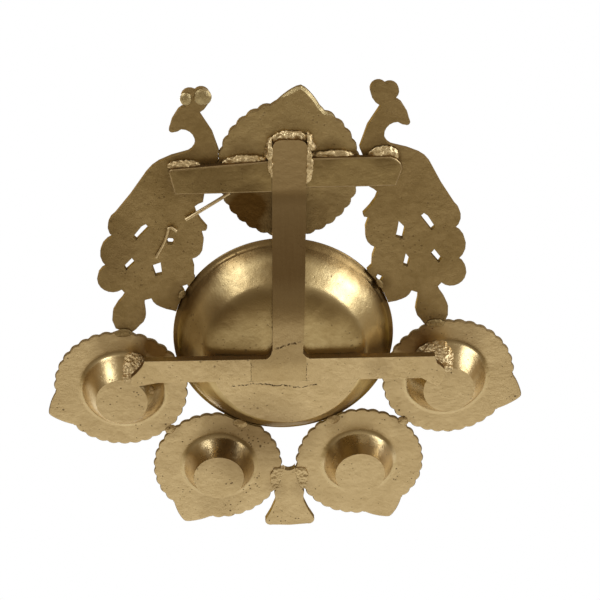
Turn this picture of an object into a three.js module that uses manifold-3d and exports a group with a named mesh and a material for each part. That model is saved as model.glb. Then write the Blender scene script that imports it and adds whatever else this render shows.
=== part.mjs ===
// A brass lamp tray: a round urli bowl, four leaf shaped diyas, two pierced peacocks and a tall leaf,
// brazed edge to edge over a back frame of flat bar that also serves as its foot.
// Millimetres, +Z up. The bowl and the diyas open upwards, the peacocks and the leaf lie at the back (+Y).
// Right is +X for someone who stands in front of the tray.

import * as THREE from 'three';
import { mergeVertices } from 'three/addons/utils/BufferGeometryUtils.js';
import Module from 'manifold-3d';

const wasm = await Module();
wasm.setup();

// Driving dimensions

const GAP = 0.3;                 // braze gap between neighbouring pieces
const DECK = 28;                 // height of the level that the bowl rim and the plates share
const PLATE = 3.6;               // thickness of the peacocks, the tall leaf and the finial
const FLANGE = 2.8;              // thickness of the leaf shaped rims of the diyas
const BAR = 4.4;                 // flat bar of the spine and the lower crossbar
const ARM = 4.0;                 // thinner flat bar of the upper arms

const BEYOND = 200;              // well past the tray's edges, for blocks that part or trim its pieces

const BOWL = { top: 26.7, rim: 57.4, lip: 3, lipThick: 1.9, wall: 2.4, flat: 12, belly: 44, bellyRise: 8.3 };
const PAD = { radius: 38.6, x: -1, y: 2.5, height: 8.5 };

const DIYA = { radius: 35.45, scallops: 34, scallop: 1.1, tip: 42.2, tipSpread: 18.5, tipRound: 1.5, egg: 0 };
const CUP = { mouth: 22.5, floor: 13.2, depth: 13.2, wall: 2.2, bulge: 2.4, setBack: 1.5 };
const LEAF = { radius: 34.4, scallops: 34, scallop: 1.0, tip: 44.9, tipSpread: 17, tipRound: 1.5, egg: 0.088 };
const LEAF_SEAT = { x: -3.9, y: 92.9, lean: 8.6 };

// Where each diya sits round the bowl: bearing of its centre and of its leaf tip, in degrees from +X, how
// much of its edge is ground away where it meets the bowl's rim, and how much is ground off its cup's bottom
const DIYA_SEATS = {
  side_right: { bearing: -18.5, tip: -19.9, inset: 1.7, ground: 0.2 },
  front_right: { bearing: -65.3, tip: -61.6, inset: 3.2, ground: 1.2 },
  front_left: { bearing: -116.3, tip: -114.7, inset: 1.6, ground: 0.8 },
  side_left: { bearing: -162.3, tip: -161.8, inset: 1.3, ground: 0.4 },
};

const SPINE = { footX: -1.2, lean: 1.86, footWidth: 15.2, topWidth: 17.1, top: 112.5, corner: 4.5 };
const BEND = { start: 19.5, angle: 21, lowRadius: 62, highRadius: 27 };
const CROSS = { y: -4.05, turn: 0.85, width: 12.9, seamRight: 17.7, seamLeft: -10.9, fillet: 5 };
const ARM_RIGHT = { side: 1, root: 16.7, rootY: 93.6, end: 13.4, endY: 91.9, reach: 53.9, slant: 2.4, corner: 1.5 };
const ARM_LEFT = { side: -1, root: 15.6, rootY: 94.9, end: 15.5, endY: 94.6, reach: 59.3, slant: 3, corner: 6 };

// Each peacock is set by hand: root of its tail, lean to the left, height of its body against the pattern's,
// and how its head is bent on the neck
const PEACOCKS = {
  left: { x: -69.7, y: 23, lean: 0, tall: 1, head: { x: 0, y: 0, turn: 0 } },
  right: { x: 70.9, y: 23.4, lean: 6.5, tall: 0.954, head: { x: -1.7, y: 1.4, turn: -4.2 } },
};
const NECK = { x: -20, y: 78, from: 66, to: 84 };

const FINIAL = { x: -1.4, topY: -85.1, topRound: 3.9, neck: 8, neckY: -106.3, foot: 13.9, footY: -123.4, heel: 4 };
const BRACE = { radius: 0.95, startX: 24.7, endX: 47, endY: 70.5 };
const WIRE = { radius: 0.8, run: [[51.9, 64.1], [55.1, 66.7], [56.5, 63.1], [58.2, 58.3], [63, 49.9]] };
const BEAD = { height: 2.6, width: 3.2 };
const ROOT_BEADS = {
  below: 1.6,
  right: { above: 6.9, length: 8, width: 2.9 },
  left: { above: 3.8, length: 9.2, width: 4 },
};

// Helpers

const rad = THREE.MathUtils.degToRad;
const underPlates = DECK - PLATE - GAP;
const underFlanges = DECK - FLANGE - GAP;

function tidy(geometry) {
  const bare = geometry.clone();
  bare.deleteAttribute('normal');
  bare.deleteAttribute('uv');
  const merged = mergeVertices(bare, 1e-4);
  const corners = merged.index.array;
  const kept = [];
  for (let i = 0; i < corners.length; i += 3) {
    const [a, b, c] = [corners[i], corners[i + 1], corners[i + 2]];
    if (a !== b && b !== c && c !== a) kept.push(a, b, c);
  }
  merged.setIndex(kept);
  return merged;
}

function solid(geometry) {
  const g = tidy(geometry);
  return new wasm.Manifold(new wasm.Mesh({
    numProp: 3,
    vertProperties: new Float32Array(g.attributes.position.array),
    triVerts: new Uint32Array(g.index.array),
  }));
}

function shell(manifold) {
  const mesh = manifold.getMesh();
  const g = new THREE.BufferGeometry();
  g.setAttribute('position', new THREE.BufferAttribute(new Float32Array(mesh.vertProperties), 3));
  g.setIndex(new THREE.BufferAttribute(new Uint32Array(mesh.triVerts), 1));
  return g;
}

function add(group, name, shape, material) {
  const geometry = shape instanceof wasm.Manifold ? shell(shape) : tidy(shape);
  const mesh = new THREE.Mesh(geometry, material.clone());
  mesh.name = name;
  group.add(mesh);
  return mesh;
}

// A closed outline, anticlockwise. Each entry is the next corner and how far the stretch that leads to it
// bows outwards; a negative bow is hollow.
function bowed(stretches) {
  const points = [];
  const last = stretches[stretches.length - 1];
  let from = new THREE.Vector2(last[0], last[1]);
  for (const [x, y, bow = 0] of stretches) {
    const to = new THREE.Vector2(x, y);
    if (Math.abs(bow) > 0.2) {
      const chord = from.distanceTo(to);
      const radius = chord * chord / (8 * bow) + bow / 2;
      const out = new THREE.Vector2(to.y - from.y, from.x - to.x).normalize();
      const centre = from.clone().add(to).multiplyScalar(0.5).addScaledVector(out, bow - radius);
      const sweep = 4 * Math.atan(2 * bow / chord);
      const steps = Math.max(2, Math.round(Math.abs(sweep) / rad(20)));
      for (let i = 1; i < steps; i++) points.push(from.clone().rotateAround(centre, sweep * i / steps));
    }
    points.push(to);
    from = to;
  }
  return points;
}

function slab(outline, low, high, holes = []) {
  const shape = new THREE.Shape(outline);
  for (const hole of holes) shape.holes.push(new THREE.Path(hole));
  const g = new THREE.ExtrudeGeometry(shape, { depth: high - low, bevelEnabled: false });
  g.translate(0, 0, low);
  return g;
}

function block(fromX, toX, fromY, toY, low, high) {
  const g = new THREE.BoxGeometry(toX - fromX, toY - fromY, high - low);
  g.translate((fromX + toX) / 2, (fromY + toY) / 2, (low + high) / 2);
  return solid(g);
}

function disc(radius, low, high, segments = 96) {
  const g = new THREE.CylinderGeometry(radius, radius, high - low, segments);
  g.rotateX(Math.PI / 2);
  g.translate(0, 0, (low + high) / 2);
  return g;
}

function revolve(profile, segments) {
  const g = new THREE.LatheGeometry(profile.map(([r, z]) => new THREE.Vector2(r, z)), segments);
  g.rotateX(Math.PI / 2);
  return g;
}

function turned(points, degrees, x = 0, y = 0) {
  const origin = new THREE.Vector2();
  const shift = new THREE.Vector2(x, y);
  return points.map((p) => p.clone().rotateAround(origin, rad(degrees)).add(shift));
}

function mirrored(points) {
  return points.map((p) => new THREE.Vector2(-p.x, p.y)).reverse();
}

function bearing(degrees, radius) {
  return new THREE.Vector2(radius * Math.cos(rad(degrees)), radius * Math.sin(rad(degrees)));
}

// One brass throughout: bright where it was ground, duller as cast, rough where it was brazed

const polishedBrass = new THREE.MeshStandardMaterial({ color: 0xb89a58, roughness: 0.25, metalness: 1 });
const groundBrass = new THREE.MeshStandardMaterial({ color: 0xb39e6c, roughness: 0.42, metalness: 1 });
const castBrass = new THREE.MeshStandardMaterial({ color: 0x8c7143, roughness: 0.5, metalness: 1 });
const brazeBrass = new THREE.MeshStandardMaterial({ color: 0xcdb27a, roughness: 0.6, metalness: 1 });

const vessels = new THREE.Group();
const plates = new THREE.Group();
const frame = new THREE.Group();
const brazing = new THREE.Group();

// Urli bowl: a shallow round bowl with an almost flat floor, steep walls and an everted lip

const bowlFloor = BAR + GAP;
const lipUnder = BOWL.top - BOWL.lipThick;
const wallTop = BOWL.rim - BOWL.lip;

function bowlCurve(inset, steps) {
  const curve = new THREE.CubicBezierCurve(
    new THREE.Vector2(BOWL.flat, bowlFloor + inset),
    new THREE.Vector2(BOWL.belly - inset * 0.6, bowlFloor + inset),
    new THREE.Vector2(wallTop - 0.7 - inset, bowlFloor + BOWL.bellyRise + inset * 0.4),
    new THREE.Vector2(wallTop - inset, lipUnder),
  );
  return curve.getPoints(steps).map((p) => [p.x, p.y]);
}

const bowlOuter = (grow, steps) => [
  [0, bowlFloor - grow],
  ...bowlCurve(-grow, steps),
  [BOWL.rim + grow, lipUnder - grow],
  [BOWL.rim + grow, BOWL.top + grow],
];
const bowlInner = [[wallTop - BOWL.wall, BOWL.top], ...bowlCurve(BOWL.wall, 6).reverse(), [0, bowlFloor + BOWL.wall]];
add(vessels, 'urli_bowl', revolve([...bowlOuter(0, 7), ...bowlInner], 56), polishedBrass);

const bowlRoom = solid(revolve([...bowlOuter(GAP, 10), [0, BOWL.top + GAP]], 96));
const rimRoom = solid(disc(BOWL.rim + GAP, -1, DECK + 5));

// Diyas: a leaf shaped rim with scalloped edge and blunt tip, and a round cup sunk through it

function leafOutline(leaf, grow = 0, pointsPerScallop = 4) {
  const points = [];
  const count = leaf.scallops * pointsPerScallop;
  for (let i = 0; i < count; i++) {
    const angle = i / count * 2 * Math.PI;
    const fromTip = Math.min(angle, 2 * Math.PI - angle);
    const near = fromTip / rad(leaf.tipSpread);
    const egg = 1 + leaf.egg * ((1 + Math.cos(angle)) / 2) ** 2;
    const edge = (leaf.radius - leaf.scallop) * egg;
    const scalloped = edge + leaf.scallop * Math.abs(Math.sin(angle * leaf.scallops / 2));
    const blunt = Math.hypot(near, leaf.tipRound / leaf.tipSpread) - leaf.tipRound / leaf.tipSpread;
    const pointed = leaf.tip + (edge - leaf.tip) * blunt;
    const radius = (near < 1 ? pointed : scalloped) + grow;
    points.push(new THREE.Vector2(radius * Math.cos(angle), radius * Math.sin(angle)));
  }
  return points;
}

const cupFloor = DECK - FLANGE - CUP.depth;

function cupWall(inset, grow, steps) {
  const middle = (CUP.floor + CUP.mouth) / 2 + CUP.bulge;
  const curve = new THREE.QuadraticBezierCurve(
    new THREE.Vector2(CUP.floor - inset + grow, cupFloor + inset - grow),
    new THREE.Vector2(middle - inset + grow, cupFloor + CUP.depth / 2 - CUP.bulge + inset),
    new THREE.Vector2(CUP.mouth - inset + grow, DECK - FLANGE),
  );
  return curve.getPoints(steps).map((p) => [p.x, p.y]);
}

const cupOuter = [[0, cupFloor], ...cupWall(0, 0, 4), [CUP.mouth, DECK - GAP], [0, DECK - GAP]];
const cupHollow = [
  [0, cupFloor + CUP.wall],
  ...cupWall(CUP.wall, 0, 4),
  [CUP.mouth - CUP.wall + 1, DECK + GAP],
  [0, DECK + GAP],
];
const cupRoomProfile = [[0, cupFloor - GAP], ...cupWall(0, GAP, 8), [CUP.mouth + GAP, DECK], [0, DECK]];

// A turned form at the cup's place: a little nearer the bowl than the middle of the leaf
function atCup(profile, segments) {
  return solid(revolve(profile, segments)).translate([-CUP.setBack, 0, 0]);
}

const cupRoom = atCup(cupRoomProfile, 64);

const diyaRim = solid(slab(leafOutline(DIYA), DECK - FLANGE, DECK));
const diya = diyaRim.add(atCup(cupOuter, 32)).subtract(atCup(cupHollow, 32));
const diyaRoom = solid(slab(leafOutline({ ...DIYA, scallop: 0 }, GAP), -1, DECK + 5));
const seatRadius = (place) => BOWL.rim + GAP + DIYA.radius - DIYA_SEATS[place].inset;
const seatCentre = (place) => bearing(DIYA_SEATS[place].bearing, seatRadius(place));

function atSeat(place, shape) {
  const { x, y } = seatCentre(place);
  return shape.rotate([0, 0, DIYA_SEATS[place].tip]).translate([x, y, 0]);
}

// The bowl's rim as a diya meets it, seen from the diya's own centre with its tip towards +X
function rimFrom(place) {
  const { x, y } = seatCentre(place).negate().rotateAround(new THREE.Vector2(), -rad(DIYA_SEATS[place].tip));
  return rimRoom.translate([x, y, 0]);
}

for (const [place, seat] of Object.entries(DIYA_SEATS)) {
  const groundOff = block(-CUP.mouth, CUP.mouth, -CUP.mouth, CUP.mouth, 0, cupFloor + seat.ground);
  const mesh = add(vessels, `diya_${place}`, diya.subtract(rimFrom(place)).subtract(groundOff), groundBrass);
  const { x, y } = seatCentre(place);
  mesh.position.set(x, y, 0);
  mesh.rotation.z = rad(DIYA_SEATS[place].tip);
}

// Tall leaf behind the bowl

const onLeafSeat = (points) => turned(points, 90 + LEAF_SEAT.lean, LEAF_SEAT.x, LEAF_SEAT.y);
add(plates, 'back_leaf', slab(onLeafSeat(leafOutline(LEAF)), DECK - PLATE, DECK), castBrass);
const leafRoom = solid(slab(onLeafSeat(leafOutline(LEAF, GAP)), -1, DECK + 5));

// Peacocks: one pierced pattern, used mirrored for the left. Measured from the root of the tail.

const peacockOutline = bowed([
  [13.8, -17.0],
  [13.4, -1.6, 2.4], [9.7, 5.0, -0.3], [11.6, 7.3],
  [23.5, 9.8, 3.2], [19.5, 20.4, 2.3],
  [17.0, 38.0, 4.8],
  [16.6, 51.0, 3.0],
  [3.2, 74.0, -0.5], [-2.2, 78.9, 0.5], [-14.0, 83.0, 0.4],
  [-13.0, 95.4, -5.9], [-8.6, 93.7, 0.4],
  [-7.4, 96.2, 0.9], [-10.3, 103.0, 0.5], [-15.4, 106.9, 0.9],
  [-19.4, 114.6, 4.7], [-26.4, 110.8, 3.2], [-21.3, 103.7, 1.1],
  [-31.2, 82.6, 1.4], [-27.6, 72.0, -0.3], [-26.2, 62.0, -0.3],
  [-21.9, 58.8, -0.3], [-23.2, 55.0], [-29.2, 47.2, -0.3], [-28.6, 45.8], [-26.2, 45.3],
  [-27.6, 34.2, 1.0], [-22.5, 28.6, 1.0],
  [-24.4, 17.8, 0.7], [-30.0, 12.0], [-24.0, -6.0], [-14.6, -3.2],
  [-8.3, -1.5, 0.3], [-3.6, 3.2, 0.8], [-0.2, 1.9], [-0.9, -5.6, -0.3],
  [1.6, -13.8, 1.3], [6.0, -19.0, 0.4],
]);

const peacockHoles = {
  shoulder: [[1.2, 46.9], [-0.5, 45.2], [5.4, 37.2], [7.2, 38.9], [3.2, 45.4]],
  inner: [[-11.2, 42.8], [-11.8, 38.2], [-12.6, 34.0], [-9.1, 32.9], [-7.9, 39.2]],
  outer: [[7.2, 26.6], [5.4, 24.2], [9.8, 18.8], [11.2, 21.2]],
  lower: [[-7.2, 24.6], [-8.4, 18.0], [-6.1, 17.0], [-5.1, 21.8]],
  rim: [[-21.2, 13.2], [-22.4, 10.9], [-20.1, 8.0], [-18.1, 11.6]],
};
// Two holes of the right peacock were cut anew: a small round one and a wider lower one
const recutHoles = {
  inner: [[-10.4, 39.9], [-12.6, 39.9], [-13.4, 38], [-12.4, 36.1], [-10.4, 36.1], [-9.4, 38]],
  lower: [[-7.2, 25.2], [-8.4, 18], [-5, 16.8], [-2.8, 23]],
};
const tailFoot = [9.9, -18];
const tailFlank = [-26.5, 4];

// Places points of the pattern: the head is bent on the neck, then the whole bird takes its own lean
function onPeacock(side, points) {
  const { x, y, lean, tall, head } = PEACOCKS[side];
  const neck = new THREE.Vector2(NECK.x, NECK.y);
  const shift = new THREE.Vector2(head.x, head.y);
  const bent = points.map((p) => {
    const onHead = p.clone().rotateAround(neck, rad(head.turn)).add(shift);
    return new THREE.Vector2(p.x, p.y * tall).lerp(onHead, THREE.MathUtils.smoothstep(p.y, NECK.from, NECK.to));
  });
  return turned(side === 'right' ? bent : mirrored(bent), lean, x, y);
}

function peacock(side) {
  const holes = side === 'right' ? { ...peacockHoles, ...recutHoles } : peacockHoles;
  const corners = (hole) => onPeacock(side, hole.map(([x, y]) => new THREE.Vector2(x, y)));
  const plate = solid(slab(onPeacock(side, peacockOutline), DECK - PLATE, DECK, Object.values(holes).map(corners)));
  return plate.subtract(rimRoom).subtract(leafRoom).subtract(atSeat(`side_${side}`, diyaRoom));
}

for (const side of ['left', 'right']) add(plates, `peacock_${side}`, peacock(side), castBrass);

// Bell shaped finial that fills the corner between the two front diyas

const finialTop = FINIAL.topY + FINIAL.topRound - 0.3;
const finialWide = FINIAL.neck + 8;
const neckTop = FINIAL.topY - 14.5;
const finialOutline = bowed([
  [-finialWide, finialTop], [-finialWide, neckTop - 1.5], [-FINIAL.neck - 0.5, neckTop],
  [-FINIAL.neck, FINIAL.neckY, -0.3],
  [-FINIAL.foot, FINIAL.footY + FINIAL.heel, -0.4],
  [-FINIAL.foot + FINIAL.heel, FINIAL.footY + 0.6, 1.4],
  [FINIAL.foot - FINIAL.heel, FINIAL.footY + 0.6, 0.6],
  [FINIAL.foot, FINIAL.footY + FINIAL.heel, 1.4],
  [FINIAL.neck, FINIAL.neckY, -0.4],
  [FINIAL.neck + 0.5, neckTop, -0.3], [finialWide, neckTop - 1.5], [finialWide, finialTop],
  [FINIAL.topRound, finialTop], [-FINIAL.topRound, finialTop, 0.3 - FINIAL.topRound],
]);
const finialBlank = solid(slab(turned(finialOutline, 0, FINIAL.x), DECK - PLATE, DECK));
const finial = finialBlank.subtract(atSeat('front_left', diyaRoom)).subtract(atSeat('front_right', diyaRoom));
add(plates, 'bell_finial', finial, groundBrass);

// Spine: a flat bar that runs under the bowl, bends up past its wall and runs flat again under the leaf

function spineOutline(grow = 0) {
  const foot = SPINE.footWidth / 2 + grow;
  const head = SPINE.topWidth / 2 + grow;
  const length = SPINE.top - CROSS.y + grow;
  const corner = SPINE.corner;
  const straight = bowed([
    [foot, 0], [head, length - corner], [head - corner, length, 0.29 * corner], [-head + corner, length],
    [-head, length - corner, 0.29 * corner], [-foot, 0],
  ]);
  return turned(straight, SPINE.lean, SPINE.footX, CROSS.y);
}

function spineSide() {
  const angle = rad(BEND.angle);
  const topZ = underPlates - BAR / 2;
  const bothArcs = (BEND.lowRadius + BEND.highRadius) * (1 - Math.cos(angle));
  const straight = (topZ - BAR / 2 - bothArcs) / Math.sin(angle);
  const topStart = BEND.start + (BEND.lowRadius + BEND.highRadius) * Math.sin(angle) + straight * Math.cos(angle);
  const steps = 5;
  const middle = [[-BEYOND, BAR / 2, 0]];
  for (let i = 0; i <= steps; i++) {
    const a = angle * i / steps;
    middle.push([BEND.start + BEND.lowRadius * Math.sin(a), BAR / 2 + BEND.lowRadius * (1 - Math.cos(a)), a]);
  }
  for (let i = steps; i >= 0; i--) {
    const a = angle * i / steps;
    middle.push([topStart - BEND.highRadius * Math.sin(a), topZ - BEND.highRadius * (1 - Math.cos(a)), a]);
  }
  middle.push([BEYOND, topZ, 0]);
  const face = (side) => middle.map(([y, z, a]) =>
    new THREE.Vector2(y - side * BAR / 2 * Math.sin(a), z + side * BAR / 2 * Math.cos(a)));
  return [...face(-1), ...face(1).reverse()];
}

const spineAxis = (y) => SPINE.footX - (y - CROSS.y) * Math.tan(rad(SPINE.lean));

const bentStrip = slab(spineSide(), -BEYOND, BEYOND);
bentStrip.rotateZ(Math.PI / 2);
bentStrip.rotateY(Math.PI / 2);
const spine = solid(bentStrip).intersect(solid(slab(spineOutline(), -1, DECK)));
const spineRoom = solid(slab(spineOutline(GAP), -1, DECK));

// Lower crossbar with torch cut ends. It and the spine's foot form a tee with rounded inner corners,
// made whole here and parted at its two butt joints.

const halfCross = CROSS.width / 2;
const crossOutline = bowed([
  [-69.8, -halfCross], [64.8, -halfCross], [74.8, -halfCross - 2], [77.8, -7.4, 0.6], [77.9, -3.2, 0.3],
  [75.2, -0.6], [71.9, 3.5], [70.7, halfCross], [-76, halfCross], [-77.1, 2.4], [-81.3, -1.4], [-81.7, -5.4, 0.3],
  [-80.2, -8.6], [-78.2, -11.6, 0.3], [-76.6, -10.8],
]);
const onCross = (points) => turned(points, CROSS.turn, 0, CROSS.y);

function filletOutline(side) {
  const edge = SPINE.footX + side * SPINE.footWidth / 2;
  const corner = CROSS.y + halfCross - 0.5;
  const reach = CROSS.fillet + 0.5;
  const points = bowed([
    [edge - side, corner], [edge + side * reach, corner], [edge, corner + reach, -0.29 * reach * side],
    [edge - side, corner + reach],
  ]);
  return side > 0 ? points : points.reverse();
}

let tee = spine.add(solid(slab(onCross(crossOutline), 0, BAR)));
for (const side of [-1, 1]) tee = tee.add(solid(slab(filletOutline(side), 0, BAR)));

const footBlock = block(CROSS.seamLeft + GAP, CROSS.seamRight - GAP, -BEYOND, BEND.start, -1, DECK);
const spineBlock = block(-BEYOND, BEYOND, BEND.start - 1, BEYOND, -1, DECK);
const leftBlock = block(-BEYOND, CROSS.seamLeft, -BEYOND, BEND.start, -1, DECK);
const rightBlock = block(CROSS.seamRight, BEYOND, -BEYOND, BEND.start, -1, DECK);
add(frame, 'spine_bar', tee.intersect(footBlock.add(spineBlock)).subtract(bowlRoom), groundBrass);
add(frame, 'lower_crossbar_left', tee.intersect(leftBlock), groundBrass);
add(frame, 'lower_crossbar_right', tee.intersect(rightBlock), groundBrass);

// Half moon pad: closes the tee below the crossbar and seats against the bowl

const abovePad = bowed([
  [-BEYOND, -halfCross - GAP], [BEYOND, -halfCross - GAP], [BEYOND, BEYOND], [-BEYOND, BEYOND],
]);
const padDisc = solid(disc(PAD.radius, 0, PAD.height, 64)).translate([PAD.x, PAD.y, 0]);
add(frame, 'base_pad', padDisc.subtract(solid(slab(onCross(abovePad), -1, DECK))).subtract(bowlRoom), groundBrass);

// Upper arms: butt against the spine under the tall leaf and carry the peacocks

function armOutline(arm, grow = 0) {
  const root = arm.root / 2 + grow;
  const end = arm.end / 2 + grow;
  const reach = arm.reach + grow;
  const points = bowed([
    [0, arm.rootY - root], [reach - arm.slant, arm.endY - end], [reach, arm.endY + end - arm.corner],
    [reach - arm.corner, arm.endY + end, 0.2 * arm.corner], [0, arm.rootY + root],
  ]);
  return arm.side > 0 ? points : mirrored(points);
}

const armRooms = {};
for (const [side, arm] of Object.entries({ right: ARM_RIGHT, left: ARM_LEFT })) {
  const bar = solid(slab(armOutline(arm), underPlates - ARM, underPlates));
  const middle = spineAxis(arm.rootY);
  const ends = arm.side > 0 ? [middle, BEYOND] : [-BEYOND, middle];
  const beside = block(...ends, -BEYOND, BEYOND, -1, DECK);
  armRooms[side] = solid(slab(armOutline(arm, GAP), -1, DECK));
  add(frame, `upper_arm_${side}`, bar.intersect(beside).subtract(spineRoom), castBrass);
}

// Thin brace from the right arm to the back of the right peacock, and a mending wire behind its shoulder

function tube(path, radius, steps) {
  const section = new THREE.Shape(new THREE.EllipseCurve(0, 0, radius, radius).getPoints(8).slice(0, 8));
  return new THREE.ExtrudeGeometry(section, { extrudePath: path, steps, bevelEnabled: false });
}

const braceZ = underPlates - BRACE.radius;
const braceStartY = ARM_RIGHT.rootY - ARM_RIGHT.root / 2 - GAP - 0.6;
const braceLine = new THREE.LineCurve3(
  new THREE.Vector3(BRACE.startX, braceStartY, braceZ),
  new THREE.Vector3(BRACE.endX, BRACE.endY, braceZ),
);
add(frame, 'brace_rod', tube(braceLine, BRACE.radius, 1), brazeBrass);
const wireZ = underPlates - WIRE.radius;
const wireLine = new THREE.CatmullRomCurve3(WIRE.run.map(([x, y]) => new THREE.Vector3(x, y, wireZ)));
add(frame, 'repair_wire', tube(wireLine, WIRE.radius, 14), brazeBrass);

// Brazing: flattened beads that hang from the seams, cut clear of what they touch

function bead(at, top, length, width, height, turn = 0) {
  const g = new THREE.SphereGeometry(1, 12, 8);
  g.rotateX(Math.PI / 2);
  g.scale(length, width, height);
  g.rotateZ(rad(turn));
  g.translate(at.x, at.y, top);
  return solid(g).intersect(block(-BEYOND, BEYOND, -BEYOND, BEYOND, top - height, top));
}

const spineHead = new THREE.Vector2(spineAxis(SPINE.top), SPINE.top);
const headBead = bead(spineHead, underPlates, SPINE.topWidth / 2, BEAD.width, BEAD.height);
add(brazing, 'braze_spine_top', headBead.subtract(spineRoom), brazeBrass);

const armBeads = {
  braze_arm_leaf_right: { arm: ARM_RIGHT, fromEnd: 36.6, length: 9.4 },
  braze_arm_peacock_right: { arm: ARM_RIGHT, fromEnd: 8.4, length: 7.5 },
  braze_arm_leaf_left: { arm: ARM_LEFT, fromEnd: 35.3, length: 6 },
  braze_arm_peacock_left: { arm: ARM_LEFT, fromEnd: 8.8, length: 7 },
};
for (const [name, { arm, fromEnd, length }] of Object.entries(armBeads)) {
  const x = arm.reach - fromEnd;
  const along = x / arm.reach;
  const y = (arm.rootY + arm.root / 2) * (1 - along) + (arm.endY + arm.end / 2) * along;
  const shape = bead(new THREE.Vector2(arm.side * x, y), underPlates, length, BEAD.width, BEAD.height);
  const room = armRooms[arm.side > 0 ? 'right' : 'left'];
  add(brazing, name, shape.subtract(room).subtract(spineRoom), brazeBrass);
}

// Brazing of the two arms' roots: from under the arm up along the side of the spine
for (const [side, arm] of Object.entries({ right: ARM_RIGHT, left: ARM_LEFT })) {
  const { above, length, width } = ROOT_BEADS[side];
  const y = arm.rootY + above;
  const at = new THREE.Vector2(spineAxis(y) + arm.side * (SPINE.topWidth / 2 + GAP), y);
  const shape = bead(at, underPlates, length, width, ARM + ROOT_BEADS.below, 90);
  const armRoom = solid(slab(armOutline(arm, GAP), underPlates - ARM - GAP, DECK));
  add(brazing, `braze_root_${side}`, shape.subtract(spineRoom).subtract(armRoom), brazeBrass);
}

for (const [place, seat] of Object.entries(DIYA_SEATS)) {
  const at = bearing(seat.bearing, BOWL.rim + 1);
  const shape = bead(at, Math.min(lipUnder - GAP, underFlanges), BEAD.width, BEAD.width + 1, BEAD.height, seat.bearing);
  add(brazing, `braze_bowl_${place}`, shape.subtract(bowlRoom), brazeBrass);
}

// The point of a diya's edge that faces another point
function onDiyaEdge(place, towards) {
  const centre = seatCentre(place);
  return towards.clone().sub(centre).setLength(DIYA.radius).add(centre);
}

for (const side of ['left', 'right']) {
  const sideCentre = seatCentre(`side_${side}`);
  const frontCentre = seatCentre(`front_${side}`);
  const between = sideCentre.clone().add(frontCentre).multiplyScalar(0.5);
  const across = THREE.MathUtils.radToDeg(between.angle());
  add(brazing, `braze_diyas_${side}`, bead(between, underFlanges, 4, 3, 2, across), brazeBrass);

  const neckX = FINIAL.x + (side === 'right' ? 1 : -1) * FINIAL.neck;
  const neck = onDiyaEdge(`front_${side}`, new THREE.Vector2(neckX, FINIAL.topY - 12));
  add(brazing, `braze_finial_${side}`, bead(neck, underPlates, 2.6, 4, 2), brazeBrass);

  const [foot, flank] = onPeacock(side, [new THREE.Vector2(...tailFoot), new THREE.Vector2(...tailFlank)])
    .sort((a, b) => a.y - b.y);
  add(brazing, `braze_tail_diya_${side}`, bead(onDiyaEdge(`side_${side}`, foot), underPlates, 5, 2.8, 2), brazeBrass);
  const rimPoint = flank.clone().setLength(BOWL.rim + 1);
  const flankTurn = THREE.MathUtils.radToDeg(flank.angle());
  const flankBead = bead(rimPoint, underPlates, 2.6, 4.2, 2, flankTurn);
  add(brazing, `braze_tail_bowl_${side}`, flankBead.subtract(bowlRoom), brazeBrass);
}

// Heavy lumps that tie the ends of the lower crossbar up to the cups of the side diyas, and a splash beside one

function lump(side, angle, outside, z, rx, ry, rz) {
  const seat = seatCentre(`side_${side}`);
  const at = bearing(angle, CUP.mouth + outside).add(seat);
  const g = new THREE.SphereGeometry(1, 14, 10);
  g.rotateX(Math.PI / 2);
  g.scale(rx, ry, rz);
  g.translate(at.x, at.y, z);
  const between = block(-BEYOND, BEYOND, -BEYOND, BEYOND, BAR + GAP, underFlanges);
  return solid(g).intersect(between).subtract(atSeat(`side_${side}`, cupRoom));
}

const lumpZ = (BAR + DECK - FLANGE) / 2;
const cupMiddle = DECK - FLANGE - CUP.depth / 2;
add(brazing, 'braze_cup_right', lump('right', 116, 2, lumpZ, 6, 7, 18), brazeBrass);
add(brazing, 'braze_cup_left', lump('left', 62, 0.5, lumpZ, 7.5, 7.5, 18), brazeBrass);
add(brazing, 'braze_splash_right', lump('right', 168, -3.5, cupMiddle + 1.5, 5, 5.5, 5.5), brazeBrass);

// The finished tray, with its origin at the middle of its footprint on the table

const tray = new THREE.Group();
tray.add(vessels, plates, frame, brazing);
tray.updateMatrixWorld(true);
const box = new THREE.Box3().setFromObject(tray, true);
tray.position.set(-(box.min.x + box.max.x) / 2, -(box.min.y + box.max.y) / 2, -box.min.z);

export default tray;
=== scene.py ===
import bmesh
import bpy
import math
from mathutils import Matrix, Vector, noise as turbulence
from mathutils.bvhtree import BVHTree


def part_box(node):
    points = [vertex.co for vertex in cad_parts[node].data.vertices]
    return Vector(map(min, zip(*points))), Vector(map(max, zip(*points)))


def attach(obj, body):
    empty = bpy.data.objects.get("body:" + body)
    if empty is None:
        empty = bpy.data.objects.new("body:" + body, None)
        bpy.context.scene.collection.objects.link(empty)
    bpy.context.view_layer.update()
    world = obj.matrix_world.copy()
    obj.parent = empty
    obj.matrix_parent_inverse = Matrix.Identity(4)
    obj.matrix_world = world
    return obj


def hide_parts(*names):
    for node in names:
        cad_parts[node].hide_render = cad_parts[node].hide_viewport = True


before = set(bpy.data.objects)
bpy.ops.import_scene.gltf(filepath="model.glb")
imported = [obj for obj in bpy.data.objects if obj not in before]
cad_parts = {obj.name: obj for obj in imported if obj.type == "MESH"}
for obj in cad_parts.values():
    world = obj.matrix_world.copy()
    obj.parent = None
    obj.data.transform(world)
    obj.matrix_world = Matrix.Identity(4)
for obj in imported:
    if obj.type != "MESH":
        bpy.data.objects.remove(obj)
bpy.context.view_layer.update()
MM = 0.001

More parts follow.
